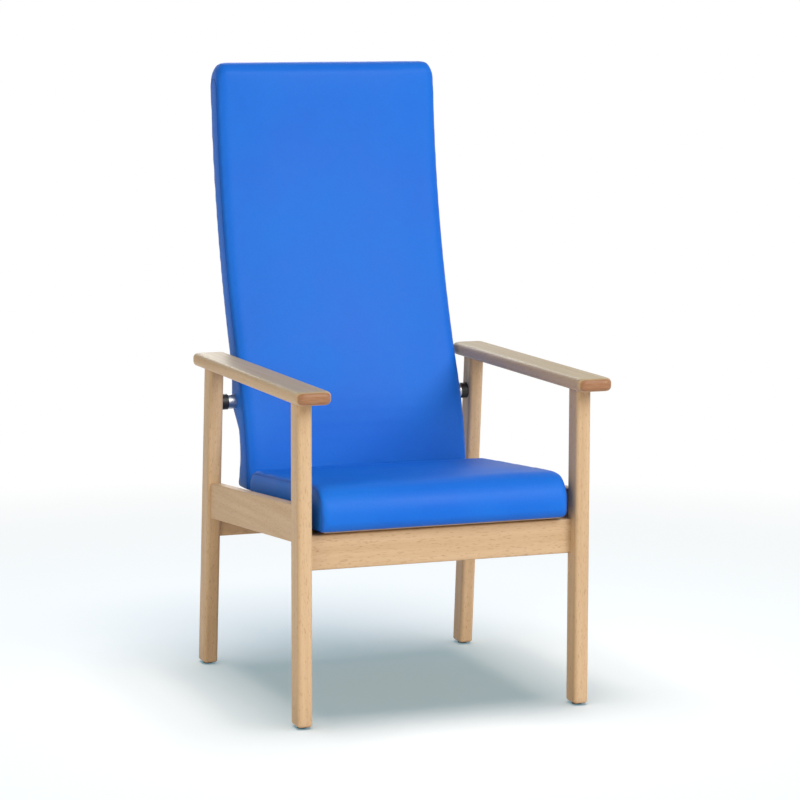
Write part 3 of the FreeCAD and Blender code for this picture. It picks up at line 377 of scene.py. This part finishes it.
def outline_of(node, across):
    """Outer outline of a CAD node where a plane cuts it at X = across, as an even closed loop."""
    cut = bmesh.new()
    cut.from_mesh(nodes[node].data)
    bmesh.ops.remove_doubles(cut, verts=cut.verts, dist=WELD)
    everything = cut.verts[:] + cut.edges[:] + cut.faces[:]
    made = bmesh.ops.bisect_plane(
        cut, geom=everything, dist=ON_PLANE, plane_co=(across, 0, 0), plane_no=(1, 0, 0)
    )["geom_cut"]
    joined = {}
    for edge in made:
        if isinstance(edge, bmesh.types.BMEdge):
            first, second = edge.verts
            joined.setdefault(first, []).append(second)
            joined.setdefault(second, []).append(first)
    loops, seen = [], set()
    for start in joined:
        if start in seen:
            continue
        loop, here = [], start
        while here is not None:
            seen.add(here)
            loop.append(here.co.copy())
            here = next((v for v in joined[here] if v not in seen), None)
        loops.append(loop)
    cut.free()
    return evenly(max(loops, key=round_length))


def turned_alike(loop):
    """The loop from its lowest rear point on, and always the same way round."""
    area = sum(loop[k - 1].y * loop[k].z - loop[k].y * loop[k - 1].z for k in range(len(loop)))
    loop = loop if area > 0 else loop[::-1]
    first = min(range(len(loop)), key=lambda k: loop[k].z - loop[k].y)
    return loop[first:] + loop[:first]


def round_length(loop):
    return sum((loop[k] - loop[k - 1]).length for k in range(len(loop)))


def evenly(loop):
    """The closed loop again, as POINTS points at equal distances."""
    loop = turned_alike(loop)
    loop.append(loop[0])
    step = round_length(loop) / POINTS
    points, walked = [], 0.0
    for start, end in zip(loop, loop[1:]):
        length = (end - start).length
        while length > 0 and len(points) < POINTS and len(points) * step <= walked + length:
            points.append(start.lerp(end, (len(points) * step - walked) / length))
        walked += length
    return points


def side_outlines(node, flat, half_width):
    """The pad's outlines from its flat middle part to its side, where its edges round off."""
    reach = half_width - SIDE_SKIN - flat
    places = [flat + reach * math.sin(k / EDGE_CUTS * math.pi / 2) for k in range(EDGE_CUTS + 1)]
    return [[p + Vector((COVER, 0, 0)) for p in outline_of(node, across)] for across in places]


def block(name, outlines):
    """Closed block: the outlines at both sides, straight across between them, remeshed into even cells."""
    built = bmesh.new()
    mirrored = [[Vector((-p.x, p.y, p.z)) for p in outline] for outline in outlines]
    rings = [[built.verts.new(p) for p in outline] for outline in mirrored[::-1] + outlines]
    for ring, following in zip(rings, rings[1:]):
        for k in range(POINTS):
            built.faces.new((ring[k - 1], ring[k], following[k], following[k - 1]))
    built.faces.new(rings[0])
    built.faces.new(rings[-1][::-1])
    bmesh.ops.triangulate(built, faces=[f for f in built.faces if len(f.verts) > 4])
    bmesh.ops.recalc_face_normals(built, faces=built.faces)
    made = add_object(name, mesh_of(built, name))
    even = made.modifiers.new("even", "REMESH")
    even.mode, even.voxel_size = "VOXEL", VOXEL
    relaxed = made.modifiers.new("relaxed", "SMOOTH")
    relaxed.factor, relaxed.iterations = RELAX_SHARE, RELAXING
    apply_modifiers(made)
    return made


def apply_modifiers(piece):
    """The piece's mesh as its modifiers leave it, in place of the mesh and the modifiers."""
    bpy.context.view_layer.update()
    evaluated = piece.evaluated_get(bpy.context.evaluated_depsgraph_get())
    settled = bpy.data.meshes.new_from_object(evaluated)
    piece.modifiers.clear()
    old, piece.data = piece.data, settled
    bpy.data.meshes.remove(old)


def nearness(piece, seams, reach):
    """For each vertex, 1 on a seam, falling to 0 at the reach."""
    points = [p for seam in seams for p in seam]
    tree = kdtree.KDTree(len(points))
    for k, point in enumerate(points):
        tree.insert(point, k)
    tree.balance()
    return [max(0.0, 1.0 - tree.find(v.co)[2] / reach) for v in piece.data.vertices]


def swell(piece, seams, most):
    """Fills the cover by cloth pressure, held at its seams. Only outward movement is kept, and
    most(point, normal) caps it."""
    held = piece.vertex_groups.new(name="held")
    for k, near in enumerate(nearness(piece, seams, SEAM_REACH)):
        if near > 0:
            held.add([k], 1.0, "REPLACE")
    start = [v.co.copy() for v in piece.data.vertices]
    normals = [v.normal.copy() for v in piece.data.vertices]
    cloth = piece.modifiers.new("cloth", "CLOTH")
    settings = cloth.settings
    settings.quality = CLOTH_QUALITY
    settings.mass = CLOTH_MASS
    settings.tension_stiffness = settings.compression_stiffness = CLOTH_TENSION
    settings.shear_stiffness = CLOTH_SHEAR
    settings.bending_stiffness = CLOTH_BENDING
    settings.vertex_group_mass = held.name
    settings.use_pressure = True
    settings.uniform_pressure_force = PRESSURE
    settings.effector_weights.gravity = 0
    cloth.collision_settings.use_collision = False
    scene = bpy.context.scene
    cloth.point_cache.frame_start, cloth.point_cache.frame_end = 1, CLOTH_FRAMES
    for step in range(1, CLOTH_FRAMES + 1):
        scene.frame_set(step)
    apply_modifiers(piece)
    scene.frame_set(1)
    moves = []
    for k, vertex in enumerate(piece.data.vertices):
        outward = (vertex.co - start[k]).dot(normals[k])
        moves.append(normals[k] * max(0.0, min(outward, most(start[k], normals[k]))))
    for k, move in enumerate(evened(piece.data, moves)):
        piece.data.vertices[k].co = start[k] + Vector(move)


def evened(mesh, moves):
    """The moves, each averaged with its neighbours' again and again, as foam evens out small folds."""
    moves = np.array(moves)
    ends = np.array([edge.vertices[:] for edge in mesh.edges])
    count = np.bincount(ends.ravel(), minlength=len(moves))[:, None]
    for _ in range(EVENING):
        total = np.zeros_like(moves)
        np.add.at(total, ends[:, 0], moves[ends[:, 1]])
        np.add.at(total, ends[:, 1], moves[ends[:, 0]])
        moves = 0.5 * moves + 0.5 * total / count
    return moves


def stitch(piece, seams):
    """Pulls the cover in along the seams and marks it there, where the finish paints shade into the furrow."""
    near = nearness(piece, seams, SEAM_FURROW)
    normals = [v.normal.copy() for v in piece.data.vertices]
    painted_seam_shade = piece.data.attributes.new("seam", "FLOAT", "POINT")
    for k, vertex in enumerate(piece.data.vertices):
        pull = near[k] ** SEAM_FALL
        vertex.co -= normals[k] * SEAM_DEPTH * pull
        # this mark is painted shade for the finish: the cover darkens by this much in the furrow
        painted_seam_shade.data[k].value = pull


def soften(piece):
    """Rounds the cover's cells off."""
    rounded = piece.modifiers.new("rounded", "SUBSURF")
    rounded.levels = rounded.render_levels = 1
    apply_modifiers(piece)
    shade_smooth(piece.data)


def seam_cord(name, line, piece, body, closed=True):
    """The fold that shows in a seam, as a thin cord on the piece's cover, in a darker blue that is painted shade
    of the fold.
    """
    line = [piece.closest_point_on_mesh(point)[1] for point in line]
    curve = bpy.data.curves.new(name, "CURVE")
    curve.dimensions = "3D"
    curve.bevel_depth, curve.bevel_resolution = SEAM_CORD, SEAM_CORD_STEPS
    spline = curve.splines.new("POLY")
    spline.points.add(len(line) - 1)
    for point, place_on in zip(spline.points, line):
        point.co = (*place_on, 1.0)
    spline.use_cyclic_u = closed
    made = add_object(name, curve)
    curve.materials.append(SEAM_SHADE_BLUE)
    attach(made, body)


def stitch_row(name, line, piece, body):
    """A row of stitches beside a side seam, on the cover's main panel: a spindle from point to point."""
    beside = [point - Vector((math.copysign(STITCH_INSET, point.x), 0, 0)) for point in line]
    found = [piece.closest_point_on_mesh(point)[1:3] for point in beside]
    turns = [k * math.tau / STITCH_SIDES for k in range(STITCH_SIDES)]
    built = bmesh.new()
    for (here, normal), (there, _) in zip(found, found[1:] + found[:1]):
        middle, run = (here + there) / 2, (there - here) * STITCH_SHARE / 2
        across = run.cross(normal).normalized() * STITCH_RADIUS
        above = normal * STITCH_RADIUS
        tips = [built.verts.new(middle - run), built.verts.new(middle + run)]
        rings = []
        for share in (-STITCH_BODY, STITCH_BODY):
            rings.append([
                built.verts.new(middle + run * share + across * math.cos(turn) + above * math.sin(turn))
                for turn in turns
            ])
        for k in range(STITCH_SIDES):
            built.faces.new((tips[0], rings[0][k], rings[0][k - 1]))
            built.faces.new((rings[0][k - 1], rings[0][k], rings[1][k], rings[1][k - 1]))
            built.faces.new((tips[1], rings[1][k - 1], rings[1][k]))
    bmesh.ops.recalc_face_normals(built, faces=built.faces)
    mesh = mesh_of(built, name)
    made = add_object(name, mesh)
    shade_smooth(mesh)
    mesh.materials.append(THREAD)
    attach(made, body)


def rear_line(piece, half_width, height):
    """Points across the rear of a piece at one height."""
    line = []
    for k in range(SEAM_STEPS + 1):
        across = half_width * (2 * k / SEAM_STEPS - 1)
        hit, where, _, _ = piece.ray_cast(Vector((across, FAR_BEHIND, height)), Vector((0, -1, 0)))
        if hit:
            line.append(where)
    return line


def dress(piece, node, body):
    """The finished cover takes its vinyl and the place of its CAD node."""
    piece.data.materials.clear()
    piece.data.materials.append(VINYL)
    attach(piece, body)
    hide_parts(node)


def smooth_step(given, low, high):
    """0 up to low and 1 from high on, with a smooth rise between them."""
    t = min(1.0, max(0.0, (given - low) / (high - low)))
    return t * t * (3 - 2 * t)


def side_lines(outline):
    """The two side seams: the outline at each side of the pad, with its kinks taken out."""
    for _ in range(SEAM_ROUNDING):
        outline = [(outline[k - 1] + 2 * outline[k] + outline[(k + 1) % POINTS]) / 4 for k in range(POINTS)]
    return [[Vector((side * p.x, p.y, p.z)) for p in outline] for side in (-1, 1)]


def make_seat():
    """Boxed seat cushion: one panel from the rear over the nose to the board, and two side panels."""
    half_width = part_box("seat_cushion")[1].x
    board_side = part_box("seat_board")[1].x
    slide = next(j for j in frame["joints"] if j["name"] == "seat_slide")
    forward = Vector(slide["axis"])
    upward = Vector((0, forward.z, -forward.y))
    outlines = side_outlines("seat_cushion", board_side + POCKET_WALL, half_width)
    base = min(p.dot(upward) for p in outlines[0])
    rear = min(p.dot(forward) for p in outlines[0])
    nose = max(p.dot(forward) for p in outlines[0])
    for outline in outlines:
        for point in outline:
            point += upward * max(0.0, base + BOARD_SHOW - point.dot(upward))
    seams = side_lines(outlines[-1])
    seat = block("seat_cover", outlines)

    def most(point, normal):
        if abs(normal.x) > SIDE_FACING:
            return SIDE_SWELL
        if normal.dot(upward) < UNDER_FACING:
            return 0.0
        inside = smooth_step(half_width - abs(point.x), 0.0, SEAT_SIDE_RISE)
        length = point.dot(forward)
        rear_share = smooth_step(length, rear + SEAT_REAR_FROM, rear + SEAT_REAR_TO)
        nose_share = 1 - SEAT_NOSE_LOSS * smooth_step(length, nose - SEAT_NOSE_REACH, nose)
        return SEAT_SWELL * inside * (rear_share * nose_share)

    swell(seat, seams, most)
    stitch(seat, seams)
    soften(seat)
    dress(seat, "seat_cushion", "seat")
    for side, seam in zip(("right", "left"), seams):
        seam_cord("seat_seam_" + side, seam, seat, "seat")
        stitch_row("seat_stitches_" + side, seam, seat, "seat")


def make_back():
    """Back pad: one panel over front, top and rear, and two side panels that follow its bent profile."""
    half_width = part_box("back_pad")[1].x
    shell_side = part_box("back_shell")[1].x
    seat_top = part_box("seat_cushion")[1].z
    outlines = side_outlines("back_pad", shell_side + POCKET_WALL, half_width)
    seams = side_lines(outlines[-1])
    back = block("back_cover", outlines)

    def most(point, normal):
        if abs(normal.x) > SIDE_FACING:
            return SIDE_SWELL
        inside = smooth_step(half_width - abs(point.x), 0.0, BACK_SIDE_RISE)
        above_seat = smooth_step(point.z, seat_top, seat_top + BACK_SEAT_RISE)
        facing = 1.0 if normal.y < 0 else BACK_REAR_SHARE
        return BACK_SWELL * inside * above_seat * facing

    hinge = next(j for j in frame["joints"] if j["name"] == "back_recline")
    rear_seam = rear_line(back, half_width - SEAM_REACH, hinge["pos_m"][2] - REAR_SEAM_DROP)
    swell(back, seams + [rear_seam], most)
    stitch(back, seams + [rear_seam])
    soften(back)
    dress(back, "back_pad", "back")
    for side, seam in zip(("right", "left"), seams):
        seam_cord("back_seam_" + side, seam, back, "back")
        stitch_row("back_stitches_" + side, seam, back, "back")
    seam_cord("back_seam_rear", rear_seam, back, "back", closed=False)


# ---------------------------------------------------------------- studio


def make_camera():
    """The camera fitted to the photograph."""
    turn, rise, roll = (math.radians(a) for a in (AZIMUTH, ELEVATION, ROLL))
    behind = Vector((math.sin(turn) * math.cos(rise), -math.cos(turn) * math.cos(rise), math.sin(rise)))
    right = (-behind).cross(Vector((0, 0, 1))).normalized()
    upward = right.cross(-behind)
    rolled_right = right * math.cos(roll) + upward * math.sin(roll)
    rolled_up = upward * math.cos(roll) - right * math.sin(roll)
    data = bpy.data.cameras.new("camera")
    data.sensor_width = SENSOR
    data.lens = FOCAL_PIXELS / IMAGE_PIXELS * SENSOR
    camera = add_object("camera", data)
    axes = Matrix((rolled_right, rolled_up, behind)).transposed()
    camera.matrix_world = Matrix.Translation(CAMERA_PLACE) @ axes.to_4x4()
    bpy.context.scene.camera = camera


def area_light(name, where, aim, size, power, tint, floor_state):
    """Soft lamp, which lights only the floor (floor_state INCLUDE) or all but the floor (EXCLUDE)."""
    data = bpy.data.lights.new(name, "AREA")
    data.shape, data.size, data.energy, data.color = "DISK", size, power, tint
    lamp = add_object(name, data)
    lamp.location = where
    lamp.rotation_euler = (Vector(aim) - Vector(where)).to_track_quat("-Z", "Y").to_euler()
    lit = bpy.data.collections.new("lit_by_" + name)
    lit.objects.link(bpy.data.objects["floor"])
    lit.collection_objects[0].light_linking.link_state = floor_state
    lamp.light_linking.receiver_collection = lit


def shown_rays(tree):
    """1 for what is seen directly, in a reflection or through glass, and 0 for light on the object."""
    path = put(tree, "LightPath").outputs
    seen = math_of(tree, "MAXIMUM", path["Is Camera Ray"], path["Is Glossy Ray"])
    return math_of(tree, "MAXIMUM", seen, path["Is Transmission Ray"])


def make_world():
    """Even light from all around; where it is seen, it is plain white."""
    world = bpy.data.worlds.new("studio")
    world.use_nodes = True
    tree = world.node_tree
    background = tree.nodes["Background"]
    background.inputs["Color"].default_value = colour(1.0, 1.0, 1.0)
    tree.links.new(spread(tree, shown_rays(tree), 0, 1, WORLD_LIGHT, 1.0), background.inputs["Strength"])
    bpy.context.scene.world = world


def make_floor():
    """Pale round floor that keeps the shadow near the chair and goes over into the white background."""
    built = bmesh.new()
    bmesh.ops.create_circle(built, cap_ends=True, segments=FLOOR_SIDES, radius=FLOOR_RADIUS)
    mesh = mesh_of(built, "floor")
    floor = add_object("floor", mesh)
    material = bpy.data.materials.new("floor")
    material.use_nodes = True
    tree = material.node_tree
    tree.nodes.clear()
    distance = put(tree, "VectorMath", {"operation": "LENGTH"}, i0=place(tree)).outputs["Value"]
    fade = spread(tree, distance, FLOOR_CLEAR, FLOOR_RADIUS)
    matt = put(tree, "BsdfDiffuse", Color=colour(*FLOOR_COLOUR))
    white = put(tree, "Emission", Color=colour(1, 1, 1))
    lift = spread(tree, shown_rays(tree), 0, 1, 0.0, FLOOR_LIFT)
    lifted = put(tree, "Emission", Color=colour(*FLOOR_LIFT_COLOUR), Strength=lift)
    near = put(tree, "AddShader", i0=matt.outputs[0], i1=lifted.outputs[0])
    both = put(tree, "MixShader", i0=fade, i1=near.outputs[0], i2=white.outputs[0])
    out = put(tree, "OutputMaterial", Surface=both.outputs[0])
    out.is_active_output = True
    mesh.materials.append(material)


finish_nodes()
make_seat()
make_back()
make_camera()
make_world()
make_floor()
for lamp_values in LAMPS:
    area_light(*lamp_values)
bpy.context.scene.view_settings.view_transform = "Standard"
